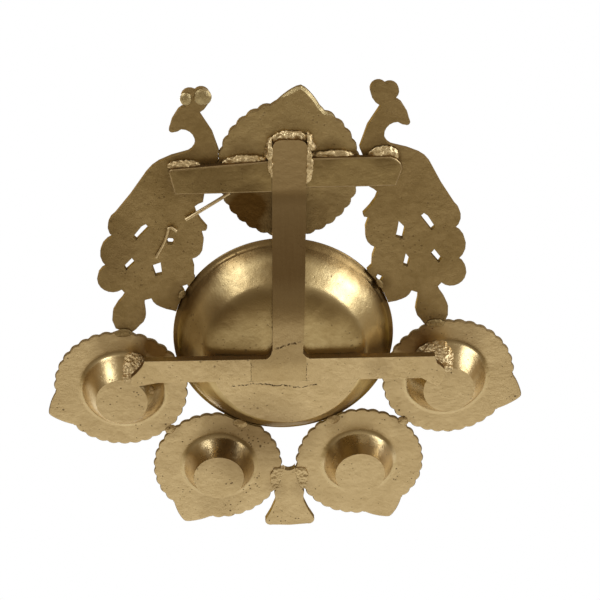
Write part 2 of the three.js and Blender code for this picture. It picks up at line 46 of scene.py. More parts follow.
# Colour of the studio below the tray, from straight ahead of its front (-1) to straight behind its back (1)
ROOM_BELOW = (
    (-1.0, (1.15, 1.15, 1.15)),
    (-0.66, (1.13, 1.12, 1.10)),
    (-0.55, (1.05, 1.02, 0.96)),
    (-0.46, (0.60, 0.52, 0.37)),
    (-0.38, (0.27, 0.195, 0.09)),
    (-0.10, (0.09, 0.055, 0.022)),
    (0.30, (0.10, 0.062, 0.027)),
    (0.60, (0.50, 0.42, 0.30)),
    (1.0, (0.75, 0.70, 0.62)),
)
# The same level with the tray, where the table close to it shades the light
ROOM_LEVEL = (
    (-1.0, (0.98, 0.96, 0.92)),
    (-0.48, (0.90, 0.86, 0.78)),
    (-0.28, (0.48, 0.36, 0.21)),
    (0.0, (0.31, 0.21, 0.105)),
    (1.0, (0.31, 0.21, 0.105)),
)
# The brown's edges lie further back the higher they are, by this share of their height over the lowest
ROOM_LOWEST = -0.87
ROOM_LEAN = 0.12
# Heights between which one part of the studio passes into the next
LEVEL_HEIGHTS = (-0.12, 0.08)
OVERHEAD_HEIGHTS = (0.5, 0.9)
STUDIO = (0.92, 0.92, 0.92)
DAYLIGHT = (0.92, 1.0, 1.15)
# The floor: half its side, and the distances between which it fades out for the camera, in m
FLOOR_HALF = 3
FLOOR_FADE = (0.2, 0.6)
FLOOR_PAINT = (0.86, 0.86, 0.85)
# The camera, as fitted to the photograph: its place in mm from below the bowl's middle, and its directions
LENS = 78
SENSOR = 36
CAMERA_PLACE = (10.8, 347.9, -557.1)
CAMERA_VIEW = (-0.0294, -0.488, 0.8723)
CAMERA_UP = (-0.0294, 0.8728, 0.4873)
LAMP_TARGET = Vector((0, 0, 0.01))
LAMP_UP = (0, 0.01, 1)
# Softboxes: place and size in m, and power in W
SOFTBOXES = {
    "back right softbox": ((0.78, 0.94, -0.15), (0.44, 0.52), 4.2),
    "back left softbox": ((-1.05, 0.57, -0.20), (0.60, 0.75), 7.5),
    "overhead softbox": ((0.5, -0.5, 1.3), (1.2, 1.2), 22),
}


# Studio: camera below the tray, where the photograph was taken, a one sided floor and soft light

def aim(thing, eye, forward, up):
    forward, up = Vector(forward).normalized(), Vector(up)
    side = forward.cross(up).normalized()
    turn = Matrix((side, side.cross(forward), -forward)).transposed()
    thing.matrix_world = Matrix.Translation(eye) @ turn.to_4x4()


def bowl_middle():
    low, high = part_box("urli_bowl")
    return Vector(((low[0] + high[0]) / 2, (low[1] + high[1]) / 2, 0))


MIDDLE = bowl_middle()


def camera():
    lens = bpy.data.cameras.new("camera")
    lens.lens = LENS
    lens.sensor_width = SENSOR
    lens.clip_start = 0.01
    eye = bpy.data.objects.new("camera", lens)
    bpy.context.collection.objects.link(eye)
    aim(eye, MIDDLE + Vector(CAMERA_PLACE) * MM, CAMERA_VIEW, CAMERA_UP)
    bpy.context.scene.camera = eye


def node_link(tree, a, out, b, into):
    tree.links.new(a.outputs[out], b.inputs[into])


def colour_ramp(tree, factor, stops, first=-1.0, last=1.0, way="B_SPLINE"):
    ramp = tree.nodes.new("ShaderNodeValToRGB")
    ramp.color_ramp.interpolation = way
    points = ramp.color_ramp.elements
    while len(points) > 1:
        points.remove(points[-1])
    for index, (place, colour) in enumerate(stops):
        point = points[0] if index == 0 else points.new(0.5)
        point.position = (place - first) / (last - first)
        point.color = (*colour, 1)
    tree.links.new(factor, ramp.inputs["Fac"])
    return ramp.outputs["Color"]


def world_light():
    """Pale studio. Below the tray it darkens to brown where the photographer stands, and brightens in front.

    The camera sees a white background, and so do reflections overhead, where the camera looks.
    """
    world = bpy.data.worlds.new("studio")
    bpy.context.scene.world = world
    world.use_nodes = True
    tree = world.node_tree
    tree.nodes.clear()
    out = tree.nodes.new("ShaderNodeOutputWorld")
    seen = tree.nodes.new("ShaderNodeBackground")
    seen.inputs["Color"].default_value = (1, 1, 1, 1)
    room = tree.nodes.new("ShaderNodeBackground")
    mix = tree.nodes.new("ShaderNodeMixShader")
    path = tree.nodes.new("ShaderNodeLightPath")
    where = tree.nodes.new("ShaderNodeTexCoord")
    part = tree.nodes.new("ShaderNodeSeparateXYZ")
    node_link(tree, where, "Generated", part, "Vector")
    risen = maths(tree, "MULTIPLY", maths(tree, "ADD", part.outputs["Z"], -ROOM_LOWEST), ROOM_LEAN)
    ahead = spread(tree, maths(tree, "SUBTRACT", part.outputs["Y"], risen), -1, 1)
    below, level = colour_ramp(tree, ahead, ROOM_BELOW), colour_ramp(tree, ahead, ROOM_LEVEL)
    around = blend(tree, spread(tree, part.outputs["Z"], *LEVEL_HEIGHTS), below, level)
    overhead = spread(tree, part.outputs["Z"], *OVERHEAD_HEIGHTS)
    tree.links.new(blend(tree, overhead, around, (*STUDIO, 1)), room.inputs["Color"])
    mirrored = maths(tree, "ADD", path.outputs["Is Glossy Ray"], path.outputs["Is Transmission Ray"], True)
    background = maths(tree, "ADD", path.outputs["Is Camera Ray"], maths(tree, "MULTIPLY", mirrored, overhead), True)
    tree.links.new(background, mix.inputs[0])
    node_link(tree, room, "Background", mix, 1)
    node_link(tree, seen, "Background", mix, 2)
    node_link(tree, mix, "Shader", out, "Surface")


def floor():
    """Seen from above only, so that the camera looks at the tray through it."""
    bm = bmesh.new()
    bmesh.ops.create_grid(bm, x_segments=1, y_segments=1, size=FLOOR_HALF)
    mesh = bpy.data.meshes.new("floor")
    bm.to_mesh(mesh)
    bm.free()
    ground = bpy.data.objects.new("floor", mesh)
    bpy.context.collection.objects.link(ground)
    paint = bpy.data.materials.new("floor")
    paint.use_nodes = True
    tree = paint.node_tree
    tree.nodes.clear()
    out = tree.nodes.new("ShaderNodeOutputMaterial")
    matt = tree.nodes.new("ShaderNodeBsdfDiffuse")
    matt.inputs["Color"].default_value = (*FLOOR_PAINT, 1)
    clear = tree.nodes.new("ShaderNodeBsdfTransparent")
    mix = tree.nodes.new("ShaderNodeMixShader")
    side = tree.nodes.new("ShaderNodeNewGeometry")
    path = tree.nodes.new("ShaderNodeLightPath")
    above = tree.nodes.new("ShaderNodeMath")
    above.operation = "SUBTRACT"
    above.use_clamp = True
    node_link(tree, path, "Is Camera Ray", above, 0)
    node_link(tree, side, "Backfacing", above, 1)
    away = tree.nodes.new("ShaderNodeVectorMath")
    away.operation = "LENGTH"
    node_link(tree, tree.nodes.new("ShaderNodeTexCoord"), "Object", away, "Vector")
    near = spread(tree, away.outputs["Value"], *FLOOR_FADE, 1.0, 0.0)
    tree.links.new(maths(tree, "MULTIPLY", above.outputs["Value"], near), mix.inputs[0])
    node_link(tree, clear, "BSDF", mix, 1)
    node_link(tree, matt, "BSDF", mix, 2)
    node_link(tree, mix, "Shader", out, "Surface")
    mesh.materials.append(paint)


def softbox(name, place, size, power):
    lamp = bpy.data.lights.new(name, "AREA")
    lamp.color = DAYLIGHT
    lamp.shape = "RECTANGLE"
    lamp.size, lamp.size_y = size
    lamp.energy = power
    box = bpy.data.objects.new(name, lamp)
    bpy.context.collection.objects.link(box)
    aim(box, Vector(place), LAMP_TARGET - Vector(place), LAMP_UP)


# Brass

def group_socket(group, name, way, kind, value=None):
    socket = group.interface.new_socket(name=name, in_out=way, socket_type=kind)
    if value is not None:
        socket.default_value = value


def maths(tree, operation, a, b=None, clamp=False):
    node = tree.nodes.new("ShaderNodeMath")
    node.operation = operation
    node.use_clamp = clamp
    for slot, value in ((0, a), (1, b)):
        if value is None:
            continue
        if isinstance(value, (int, float)):
            node.inputs[slot].default_value = value
        else:
            tree.links.new(value, node.inputs[slot])
    return node.outputs["Value"]


def noise(tree, where, scale, detail=4, rough=0.55, distort=0.0):
    node = tree.nodes.new("ShaderNodeTexNoise")
    tree.links.new(where, node.inputs["Vector"])
    node.inputs["Scale"].default_value = scale
    node.inputs["Detail"].default_value = detail
    node.inputs["Roughness"].default_value = rough
    node.inputs["Distortion"].default_value = distort
    return node.outputs["Fac"]


def spread(tree, value, low, high, to_low=0.0, to_high=1.0):
    node = tree.nodes.new("ShaderNodeMapRange")
    tree.links.new(value, node.inputs["Value"])
    node.inputs["From Min"].default_value = low
    node.inputs["From Max"].default_value = high
    node.inputs["To Min"].default_value = to_low
    node.inputs["To Max"].default_value = to_high
    return node.outputs["Result"]


def blend(tree, factor, a, b, way="MIX"):
    node = tree.nodes.new("ShaderNodeMix")
    node.data_type = "RGBA"
    node.blend_type = way
    for slot, value in ((0, factor), (6, a), (7, b)):
        if isinstance(value, (int, float, tuple)):
            node.inputs[slot].default_value = value
        else:
            tree.links.new(value, node.inputs[slot])
    return node.outputs[2]


def spots(tree, where, places):
    """Mask of soft round patches, each given by its middle, radius and strength."""
    total = None
    for middle, radius, strength in places:
        away = tree.nodes.new("ShaderNodeVectorMath")
        away.operation = "DISTANCE"
        tree.links.new(where, away.inputs[0])
        away.inputs[1].default_value = middle
        mask = spread(tree, away.outputs["Value"], radius, radius * FULL_SHARE, 0.0, strength)
        total = mask if total is None else maths(tree, "MAXIMUM", total, mask)
    return total


def uneven(tree, mark):
    """Object position, pushed about by noise as the edges of this mark wander."""
    size, amount = (length * MM for length in WANDER[mark])
    where = tree.nodes.new("ShaderNodeTexCoord").outputs["Object"]
    push = tree.nodes.new("ShaderNodeTexNoise")
    tree.links.new(where, push.inputs["Vector"])
    push.inputs["Scale"].default_value = 1 / size
    push.inputs["Detail"].default_value = 3
    shift = tree.nodes.new("ShaderNodeVectorMath")
    shift.operation = "MULTIPLY_ADD"
    tree.links.new(push.outputs["Color"], shift.inputs[0])
    shift.inputs[1].default_value = (amount, amount, amount)
    tree.links.new(where, shift.inputs[2])
    centred = tree.nodes.new("ShaderNodeVectorMath")
    centred.operation = "SUBTRACT"
    tree.links.new(shift.outputs["Vector"], centred.inputs[0])
    centred.inputs[1].default_value = (amount / 2, amount / 2, amount / 2)
    return centred.outputs["Vector"]


def heat_stain_and_shade():
    """Heat stain round every braze, blotches on the bowl, patches of painted shade and painted dark reflection on the
    bowl, on the flanges next to it and on a cup, and darker patches on the leaf, the peacocks and further out on the
    flanges.
    """
    group = bpy.data.node_groups.new("heat stain and painted shade", "ShaderNodeTree")
    group_socket(group, "Stain and shade", "OUTPUT", "NodeSocketFloat")
    places = [(Vector(middle) * MM, radius * MM, strength) for middle, radius, strength in STAINS_AND_SHADE]
    for node in sorted(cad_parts):
        if node.startswith("braze_"):
            low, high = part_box(node)
            strength = STRONG_HEAT if "arm" in node or "tail" in node else LIGHT_HEAT
            places.append(((low + high) / 2, (high - low).length / 2 + HEAT_REACH * MM, strength))
    out = group.nodes.new("NodeGroupOutput")
    group.links.new(spots(group, uneven(group, "heat"), places), out.inputs["Stain and shade"])
    return group


def painted_wall_light():
    """Painted light on the outer and front walls of the cups, standing in for the bright front that they reflect."""
    group = bpy.data.node_groups.new("painted wall light", "ShaderNodeTree")
    group_socket(group, "Painted light", "OUTPUT", "NodeSocketFloat")
    places = [(Vector(middle) * MM, radius * MM, strength) for middle, radius, strength in WALL_LIGHT_SPOTS]
    out = group.nodes.new("NodeGroupOutput")
    group.links.new(spots(group, uneven(group, "lit_walls"), places), out.inputs["Painted light"])
    return group


def painted_rim_shade():
    """Painted shade towards the bowl's rim, standing in for the shaded table its wall reflects, over the heat stains
    and painted shade of the patches.
    """
    group = bpy.data.node_groups.new("painted rim shade", "ShaderNodeTree")
    group_socket(group, "Stain and shade", "OUTPUT", "NodeSocketFloat")
    part = group.nodes.new("ShaderNodeSeparateXYZ")
    group.links.new(uneven(group, "rim"), part.inputs["Vector"])
    start, full, strength = RIM_PAINTED_SHADE
    rim = spread(group, part.outputs["Z"], start * MM, full * MM, 0.0, strength)
    heat = group.nodes.new("ShaderNodeGroup")
    heat.node_tree = HEAT_STAIN_AND_SHADE
    out = group.nodes.new("NodeGroupOutput")
    group.links.new(maths(group, "MAXIMUM", rim, heat.outputs["Stain and shade"]), out.inputs["Stain and shade"])
    return group


def cracks():
    """Mask of thin wandering lines: cold joints in the frame."""
    group = bpy.data.node_groups.new("cracks", "ShaderNodeTree")
    group_socket(group, "Crack", "OUTPUT", "NodeSocketFloat")
    where = uneven(group, "cracks")
    broken = spread(group, noise(group, where, CRACK_BREAKS, 3), 0.44, 0.54)
    total = None
    for start, end, width in CRACKS:
        start, end = Vector(start) * MM, Vector(end) * MM
        along, length = (end - start).normalized(), (end - start).length
        offset = group.nodes.new("ShaderNodeVectorMath")
        offset.operation = "SUBTRACT"
        group.links.new(where, offset.inputs[0])
        offset.inputs[1].default_value = start
        reach = group.nodes.new("ShaderNodeVectorMath")
        reach.operation = "DOT_PRODUCT"
        group.links.new(offset.outputs["Vector"], reach.inputs[0])
        reach.inputs[1].default_value = along
        side = group.nodes.new("ShaderNodeVectorMath")
        side.operation = "DOT_PRODUCT"
        group.links.new(offset.outputs["Vector"], side.inputs[0])
        side.inputs[1].default_value = (-along.y, along.x, 0)
        away = maths(group, "ABSOLUTE", side.outputs["Value"])
        line = spread(group, away, width * MM, width * CRACK_CORE * MM)
        begun = spread(group, reach.outputs["Value"], 0, CRACK_FADE * MM)
        ended = spread(group, reach.outputs["Value"], length, length - CRACK_FADE * MM)
        mask = maths(group, "MULTIPLY", line, maths(group, "MULTIPLY", begun, ended))
        total = mask if total is None else maths(group, "MAXIMUM", total, mask)
    out = group.nodes.new("NodeGroupOutput")
    group.links.new(maths(group, "MULTIPLY", total, broken), out.inputs["Crack"])
    return group


def painted_spine_shade():
    """Painted shade on the spine bar, darkest where it climbs past the bowl and reflects the dark room, drawn out in
    streaks along it.
    """
    group = bpy.data.node_groups.new("painted spine shade", "ShaderNodeTree")
    group_socket(group, "Stain and shade", "OUTPUT", "NodeSocketFloat")
    part = group.nodes.new("ShaderNodeSeparateXYZ")
    group.links.new(uneven(group, "spine"), part.inputs["Vector"])
    first, last = SPINE_PAINTED_SHADE[0][0], SPINE_PAINTED_SHADE[-1][0]
    along = spread(group, part.outputs["Y"], first * MM, last * MM)
    shares = [(place, (share, share, share)) for place, share in SPINE_PAINTED_SHADE]
    brown = colour_ramp(group, along, shares, first, last, "EASE")
    drawn = group.nodes.new("ShaderNodeVectorMath")
    drawn.operation = "MULTIPLY"
    group.links.new(group.nodes.new("ShaderNodeTexCoord").outputs["Object"], drawn.inputs[0])
    drawn.inputs[1].default_value = STREAK_SQUEEZE
    streaks = spread(group, noise(group, drawn.outputs["Vector"], STREAKS, 3, 0.6), 0.3, 0.7, *STREAK_SHADES)
    out = group.nodes.new("NodeGroupOutput")
    group.links.new(maths(group, "MULTIPLY", brown, streaks, True), out.inputs["Stain and shade"])
    return group


def aged_brass():
    """Cast brass with age: tarnish clouds, small casting pits and grain."""
    group = bpy.data.node_groups.new("aged brass", "ShaderNodeTree")
    group_socket(group, "Clean", "INPUT", "NodeSocketColor", (0.5, 0.38, 0.2, 1))
    group_socket(group, "Tarnish", "INPUT", "NodeSocketColor", (0.3, 0.2, 0.08, 1))
    group_socket(group, "Tarnish amount", "INPUT", "NodeSocketFloat", 0.5)
    group_socket(group, "Pit amount", "INPUT", "NodeSocketFloat", 0.5)
    group_socket(group, "Grain amount", "INPUT", "NodeSocketFloat", 0.5)
    group_socket(group, "Roughness", "INPUT", "NodeSocketFloat", 0.4)
    group_socket(group, "Stain and shade", "INPUT", "NodeSocketFloat", 0.0)
    group_socket(group, "Crack", "INPUT", "NodeSocketFloat", 0.0)
    group_socket(group, "Painted light", "INPUT", "NodeSocketFloat", 0.0)
    group_socket(group, "Color", "OUTPUT", "NodeSocketColor")
    group_socket(group, "Roughness", "OUTPUT", "NodeSocketFloat")
    group_socket(group, "Height", "OUTPUT", "NodeSocketFloat")
    given = group.nodes.new("NodeGroupInput").outputs
    where = group.nodes.new("ShaderNodeTexCoord").outputs["Object"]
    clouds = spread(group, noise(group, where, CLOUDS, 5, 0.6, 0.4), 0.38, 0.66)
    mottle = spread(group, noise(group, where, MOTTLE, 4, 0.6), 0.35, 0.68)
    grain = noise(group, where, GRAIN, 3, 0.7)
    pits = group.nodes.new("ShaderNodeTexVoronoi")
    group.links.new(where, pits.inputs["Vector"])
    pits.inputs["Scale"].default_value = PITS
    pit_size = spread(group, noise(group, where, PIT_PATCHES, 2), 0.42, 0.72, 0.02, 0.30)
    depth = maths(group, "SUBTRACT", pit_size, pits.outputs["Distance"])
    pit = maths(group, "MULTIPLY", maths(group, "MULTIPLY", depth, 14, True), given["Pit amount"])
    dirt = maths(group, "MULTIPLY", maths(group, "ADD", maths(group, "MULTIPLY", clouds, 0.7),
                                          maths(group, "MULTIPLY", mottle, 0.45)),
                 given["Tarnish amount"], True)
    colour = blend(group, dirt, given["Clean"], given["Tarnish"])
    # Stain and painted shade darken the colour, and painted light brightens the cup walls
    colour = blend(group, given["Stain and shade"], colour, blend(group, 1.0, colour, (*STAIN_AND_SHADE_TINT, 1), "MULTIPLY"))
    colour = blend(group, given["Painted light"], colour, (*WALL_LIGHT_PAINT, 1))
    colour = blend(group, maths(group, "MULTIPLY", pit, 0.75), colour, (*PIT_DIRT, 1))
    colour = blend(group, given["Crack"], colour, (*CRACK_DIRT, 1))
    shade = spread(group, grain, 0.3, 0.7, 0.88, 1.1)
    grey = group.nodes.new("ShaderNodeCombineColor")
    for channel in ("Red", "Green", "Blue"):
        group.links.new(shade, grey.inputs[channel])
    colour = blend(group, given["Grain amount"], colour, blend(group, 1.0, colour, grey.outputs["Color"], "MULTIPLY"))
    rough = maths(group, "ADD", given["Roughness"], maths(group, "MULTIPLY", dirt, 0.16))
    rough = maths(group, "ADD", rough, maths(group, "MULTIPLY", pit, 0.2), True)
    height = maths(group, "SUBTRACT", maths(group, "MULTIPLY", grain, given["Grain amount"]),
                   maths(group, "MULTIPLY", pit, 2.0))
    height = maths(group, "ADD", height, maths(group, "MULTIPLY", mottle, 0.9))
    height = maths(group, "ADD", height, maths(group, "MULTIPLY", noise(group, where, HAND_WAVES, 2, 0.4), 1.2))
    height = maths(group, "SUBTRACT", height, maths(group, "MULTIPLY", given["Crack"], 2.5))
    out = group.nodes.new("NodeGroupOutput")
    group.links.new(colour, out.inputs["Color"])
    group.links.new(rough, out.inputs["Roughness"])
    group.links.new(height, out.inputs["Height"])
    return group


def brass(name, clean, tarnish, amounts, roughness, bump, stain="heat", cracked=False, edge=(1, 1, 1), lit_walls=False):
    """A finish of the tray. Its amounts are those of tarnish, pits and grain, and edge is the tint of its rim light."""
    finish = bpy.data.materials.new(name)
    finish.use_nodes = True
    tree = finish.node_tree
    shader = tree.nodes["Principled BSDF"]
    shader.inputs["Metallic"].default_value = 1.0
    shader.inputs["Specular Tint"].default_value = (*edge, 1)
    skin = tree.nodes.new("ShaderNodeGroup")
    skin.node_tree = AGED
    skin.inputs["Clean"].default_value = (*clean, 1)
    skin.inputs["Tarnish"].default_value = (*tarnish, 1)
    for kind, amount in zip(("Tarnish", "Pit", "Grain"), amounts):
        skin.inputs[kind + " amount"].default_value = amount
    skin.inputs["Roughness"].default_value = roughness
    # Kinds of darkening: heat is heat stain with patches of painted shade, spine is the spine's painted shade, rim is
    # painted shade towards the bowl's rim
    if stain:
        brown = tree.nodes.new("ShaderNodeGroup")
        brown.node_tree = {"heat": HEAT_STAIN_AND_SHADE, "spine": SPINE_SHADE_GROUP, "rim": RIM_SHADE_GROUP}[stain]
        node_link(tree, brown, "Stain and shade", skin, "Stain and shade")
    if cracked:
        joints = tree.nodes.new("ShaderNodeGroup")
        joints.node_tree = COLD_JOINTS
        node_link(tree, joints, "Crack", skin, "Crack")
    # Painted light on the cup walls, where they reflect the bright front
    if lit_walls:
        painted_light = tree.nodes.new("ShaderNodeGroup")
        painted_light.node_tree = WALL_LIGHT_GROUP
        node_link(tree, painted_light, "Painted light", skin, "Painted light")
    relief = tree.nodes.new("ShaderNodeBump")
    relief.inputs["Strength"].default_value = bump
    relief.inputs["Distance"].default_value = RELIEF_DEPTH * MM
    node_link(tree, skin, "Color", shader, "Base Color")
    node_link(tree, skin, "Roughness", shader, "Roughness")
    node_link(tree, skin, "Height", relief, "Height")
    node_link(tree, relief, "Normal", shader, "Normal")
    return finish


# How many to the metre of each mark of age, and the depth of the relief that they make together, in mm
CLOUDS = 38
HAND_WAVES = 55
PIT_PATCHES = 75
MOTTLE = 240
PITS = 420
CRACK_BREAKS = 900
STREAKS = 900
GRAIN = 2600
RELIEF_DEPTH = 0.2
# Tint of the stains and painted shade, colour of the painted light on the cup walls, and colours of the dirt in pits
# and cracks
STAIN_AND_SHADE_TINT = (0.24, 0.165, 0.085)
WALL_LIGHT_PAINT = (0.92, 0.76, 0.48)
PIT_DIRT = (0.10, 0.055, 0.02)
CRACK_DIRT = (0.07, 0.04, 0.015)
# Heat marks round the brazes: strength at arms and tails, strength elsewhere, and reach in mm
STRONG_HEAT = 0.45
LIGHT_HEAT = 0.22
HEAT_REACH = 3
# Share of a patch's radius within which it is at full strength
FULL_SHARE = 0.4
# How the edges of each mark wander: size of the waves, and how far they push, in mm
WANDER = {"heat": (9, 5), "lit_walls": (9, 3), "rim": (12, 6), "cracks": (3.5, 2.6), "spine": (6, 3)}
# Darker patches: middle and radius in mm, and strength. Those on the flanges next to the bowl, on the bowl's floor and
# wall, and on the front right cup, where one dims a highlight, are painted shade and painted dark reflection; the small
# ones of 4 mm and less on the bowl are blotches; the others, on the leaf, peacocks and outer flanges, are only darker
STAINS_AND_SHADE = (
    ((17, 68, 25), 19, 1.0),
    ((20, 58, 25), 19, 1.0),
    ((6, 62, 25), 16, 0.7),
    ((-14, 62, 25), 18, 0.5),
    ((-26, 68, 25), 14, 0.35),
    ((66, -11, 25), 16, 1.0),
    ((90, -8, 25), 15, 0.3),
    ((-92, -10, 25), 17, 0.3),
    ((-67, -13, 25), 18, 0.9),
    ((32, 83, 20), 22, 0.35),
    ((50, 84, 20), 14, 0.25),
    ((88, 48, 25), 26, 0.3),
    ((48, -76, 16), 9, 0.35),
    ((50, -12, 18), 16, 0.55),
    ((26, 4, 5), 20, 0.3),
    ((-46, -12, 10), 13, 0.7),
    ((6, 36, 12), 12, 0.5),
    ((14, -60, 14), 40, 0.65),
    ((34, -42, 12), 16, 0.6),
    ((40, -112, 26), 16, 0.15),
    ((21.7, 38.4, 10), 4, 0.45),
    ((-14, 39.5, 10), 2.6, 0.6),
    ((-19, 40.4, 10), 2.2, 0.6),
    ((-33, 33, 11), 4, 0.35),
    ((16, 26, 4), 20, 0.5),
    ((30, 18, 4), 16, 0.6),
    ((-14, 23, 4), 9, 0.4),
    ((-21, 17, 4), 8, 0.35),
    ((48, 3, 14), 14, 0.4),
)
# Painted light on the cup walls, standing in for the bright front that they reflect, given in the same way
WALL_LIGHT_SPOTS = (
    ((100, -44, 14), 12, 0.9),
    ((105, -35, 16), 9, 0.7),
    ((70, -47, 16), 9, 0.5),
    ((94, -51, 14), 10, 0.8),
    ((51, -95, 14), 12, 0.9),
    ((44, -102, 14), 10, 0.8),
    ((-49, -100, 14), 12, 0.9),
    ((-28, -97, 14), 11, 0.9),
    ((56, -84, 17), 9, 0.7),
    ((-57, -84, 17), 11, 0.9),
    ((-21, -86, 17), 9, 0.7),
    ((-100, -44, 14), 12, 0.9),
    ((-94, -50, 14), 10, 0.8),
)
# Where painted shade darkens the bowl's wall towards its rim, standing in for the shaded table it reflects, in mm above
# the tray's lowest face, and how strongly
RIM_PAINTED_SHADE = (16, 21, 0.75)
# Cold joints of the frame: start, end and half width in mm
CRACKS = (
    ((28, -21, 0), (16, -19.4, 0), 0.45),
    ((16, -19.4, 0), (-7, -22.4, 0), 0.5),
    ((-7, -22.4, 0), (-16, -21, 0), 0.4),
    ((17.7, -6.6, 0), (18, -18.5, 0), 0.2),
    ((-10.3, -6.4, 0), (-10.2, -19, 0), 0.2),
    ((6, 0.7, 0), (-0.4, 2.8, 0), 0.8),
    ((-0.4, 2.8, 0), (-7.7, 4.3, 0), 0.7),
)
# A crack's dark core as a share of its width, and the length in mm over which its ends fade
CRACK_CORE = 0.3
CRACK_FADE = 1
# Streaks in the spine's painted shade: how noise is squeezed to draw them out along it, and the shades between which
# they vary
STREAK_SQUEEZE = (1, 0.05, 0.05)
STREAK_SHADES = (0.96, 1.03)
# How much shade is painted on the spine from its foot up: place along it in mm, and share
SPINE_PAINTED_SHADE = ((-14, 0.0), (-4, 0.34), (12, 0.3), (26, 0.5), (40, 0.76), (56, 0.78), (72, 0.5), (90, 0.4), (110, 0.35))
AGED = aged_brass()
HEAT_STAIN_AND_SHADE = heat_stain_and_shade()
COLD_JOINTS = cracks()
SPINE_SHADE_GROUP = painted_spine_shade()
RIM_SHADE_GROUP = painted_rim_shade()
WALL_LIGHT_GROUP = painted_wall_light()
DULL_EDGE = (0.4, 0.3, 0.2)
# Polished cup walls, with painted light where they reflect the bright front
POLISHED = brass("polished brass", (0.60, 0.46, 0.235), (0.42, 0.29, 0.12), (0.6, 0.5, 0.2), 0.25, 0.3, lit_walls=True)
CREST = brass("crest brass", (0.55, 0.43, 0.215), (0.32, 0.235, 0.10), (0.9, 0.9, 1.0), 0.3, 0.9)
# The bowl, with painted shade towards its rim
BEATEN = brass("beaten brass", (0.60, 0.46, 0.225), (0.42, 0.29, 0.115), (0.6, 0.5, 0.2), 0.3, 0.3, "rim",
               edge=(0.6, 0.5, 0.35))
GROUND = brass("ground brass", (0.66, 0.50, 0.26), (0.55, 0.40, 0.19), (0.5, 0.9, 0.5), 0.36, 0.5)
CAST = brass("cast brass", (0.39, 0.275, 0.12), (0.27, 0.18, 0.065), (0.7, 0.6, 0.6), 0.38, 0.5)
LEAF_CAST = brass("leaf brass", (0.47, 0.345, 0.16), (0.34, 0.235, 0.09), (0.6, 0.5, 0.5), 0.36, 0.5)
BAR = brass("bar brass", (0.71, 0.54, 0.285), (0.55, 0.40, 0.18), (0.5, 0.6, 0.5), 0.36, 0.5, cracked=True)
# The spine, with painted shade where it climbs past the bowl
SPINE = brass("spine brass", (0.62, 0.465, 0.235), (0.52, 0.37, 0.165), (0.5, 0.3, 0.4), 0.35, 0.3, "spine", True)
# Painted highlight on the bars' corners that face down, where they catch the light, with the spine's painted shade
EDGE_HIGHLIGHT = brass("painted edge highlight", (0.66, 0.50, 0.26), (0.42, 0.30, 0.13), (0.7, 0.6, 0.5), 0.36, 0.5, "spine")
DULL_BAR = brass("dull bar brass", (0.39, 0.28, 0.12), (0.28, 0.19, 0.07), (0.7, 0.6, 0.5), 0.36, 0.5)
# Painted shade on the bars' sides, standing in for the shaded table that they reflect
BAR_SIDE_SHADE = brass("bar side painted shade", (0.26, 0.17, 0.07), (0.15, 0.09, 0.035), (0.8, 0.6, 0.8), 0.45, 0.6, None, edge=DULL_EDGE)
# Rough edge faces of the plates and leaves, their colour painted shade where they would reflect the lamps and studio
SKIN_AND_SHADE = brass("casting skin and painted shade", (0.34, 0.245, 0.12), (0.22, 0.15, 0.065), (0.7, 0.6, 1.0), 0.6, 0.8, None,
                     edge=DULL_EDGE)
BRAZE = brass("braze brass", (0.78, 0.61, 0.335), (0.50, 0.36, 0.17), (0.7, 0.7, 0.8), 0.38, 0.6, None)
SPILL = brass("braze spill", (0.60, 0.455, 0.23), (0.42, 0.28, 0.12), (0.9, 1.0, 0.8), 0.4, 0.8, None)
DULL_SPILL = brass("dull braze", (0.40, 0.29, 0.13), (0.27, 0.18, 0.07), (0.8, 0.6, 0.8), 0.42, 0.6, None)


# Pieces

# Points closer than this, in m, are one, and heights closer than this, in mm, are level
SAME_POINT = 1e-6
SAME_LEVEL = 0.1


def finish_piece(bm, node, finishes, crisp):
    """Makes the shaped mesh the piece that stands for a node of the frame. Edges sharper than crisp stay sharp."""
    for face in bm.faces:
        face.smooth = True
    for edge in bm.edges:
        edge.smooth = not edge.is_manifold or edge.calc_face_angle() < math.radians(crisp)
    mesh = bpy.data.meshes.new(node + "_brass")
    bm.to_mesh(mesh)
    bm.free()
    piece = bpy.data.objects.new(node + "_brass", mesh)
    bpy.context.collection.objects.link(piece)
    for finish in finishes:
        mesh.materials.append(finish)
    flat = piece.modifiers.new("flat faces stay flat", "WEIGHTED_NORMAL")
    flat.mode = "FACE_AREA"
    flat.weight = 90
    flat.keep_sharp = True
    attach(piece, "root")
    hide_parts(node)


def merged_copy(node):
    bm = bmesh.new()
    bm.from_mesh(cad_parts[node].data)
    bmesh.ops.remove_doubles(bm, verts=bm.verts, dist=SAME_POINT)
    return bm


def flat_copy(node):
    """A copy of a node's mesh in which each flat face is one face."""
    bm = merged_copy(node)
    bmesh.ops.dissolve_limit(bm, angle_limit=math.radians(1), verts=bm.verts, edges=bm.edges)
    return bm


def sharp_edges(bm, angle):
    return [e for e in bm.edges if e.is_manifold and e.calc_face_angle() > math.radians(angle)]


def round_edges(bm, edges, radius, segments=3, clamp=True):
    return bmesh.ops.bevel(bm, geom=edges, offset=radius * MM, offset_type="OFFSET", segments=segments, profile=0.5,
                           affect="EDGES", clamp_overlap=clamp, material=-1)["faces"]


def dent(bm, depth, size, seed, verts=None):
    """Moves points along their normals by a soft uneven amount of this depth, in dents of this size, in m."""
    bm.normal_update()
    offset = Vector((seed * 7.3, seed * 3.1, seed * 1.7))
    moves = [(v, v.normal * depth * turbulence.noise(v.co / size + offset)) for v in (verts or bm.verts)]
    for vert, move in moves:
        vert.co += move


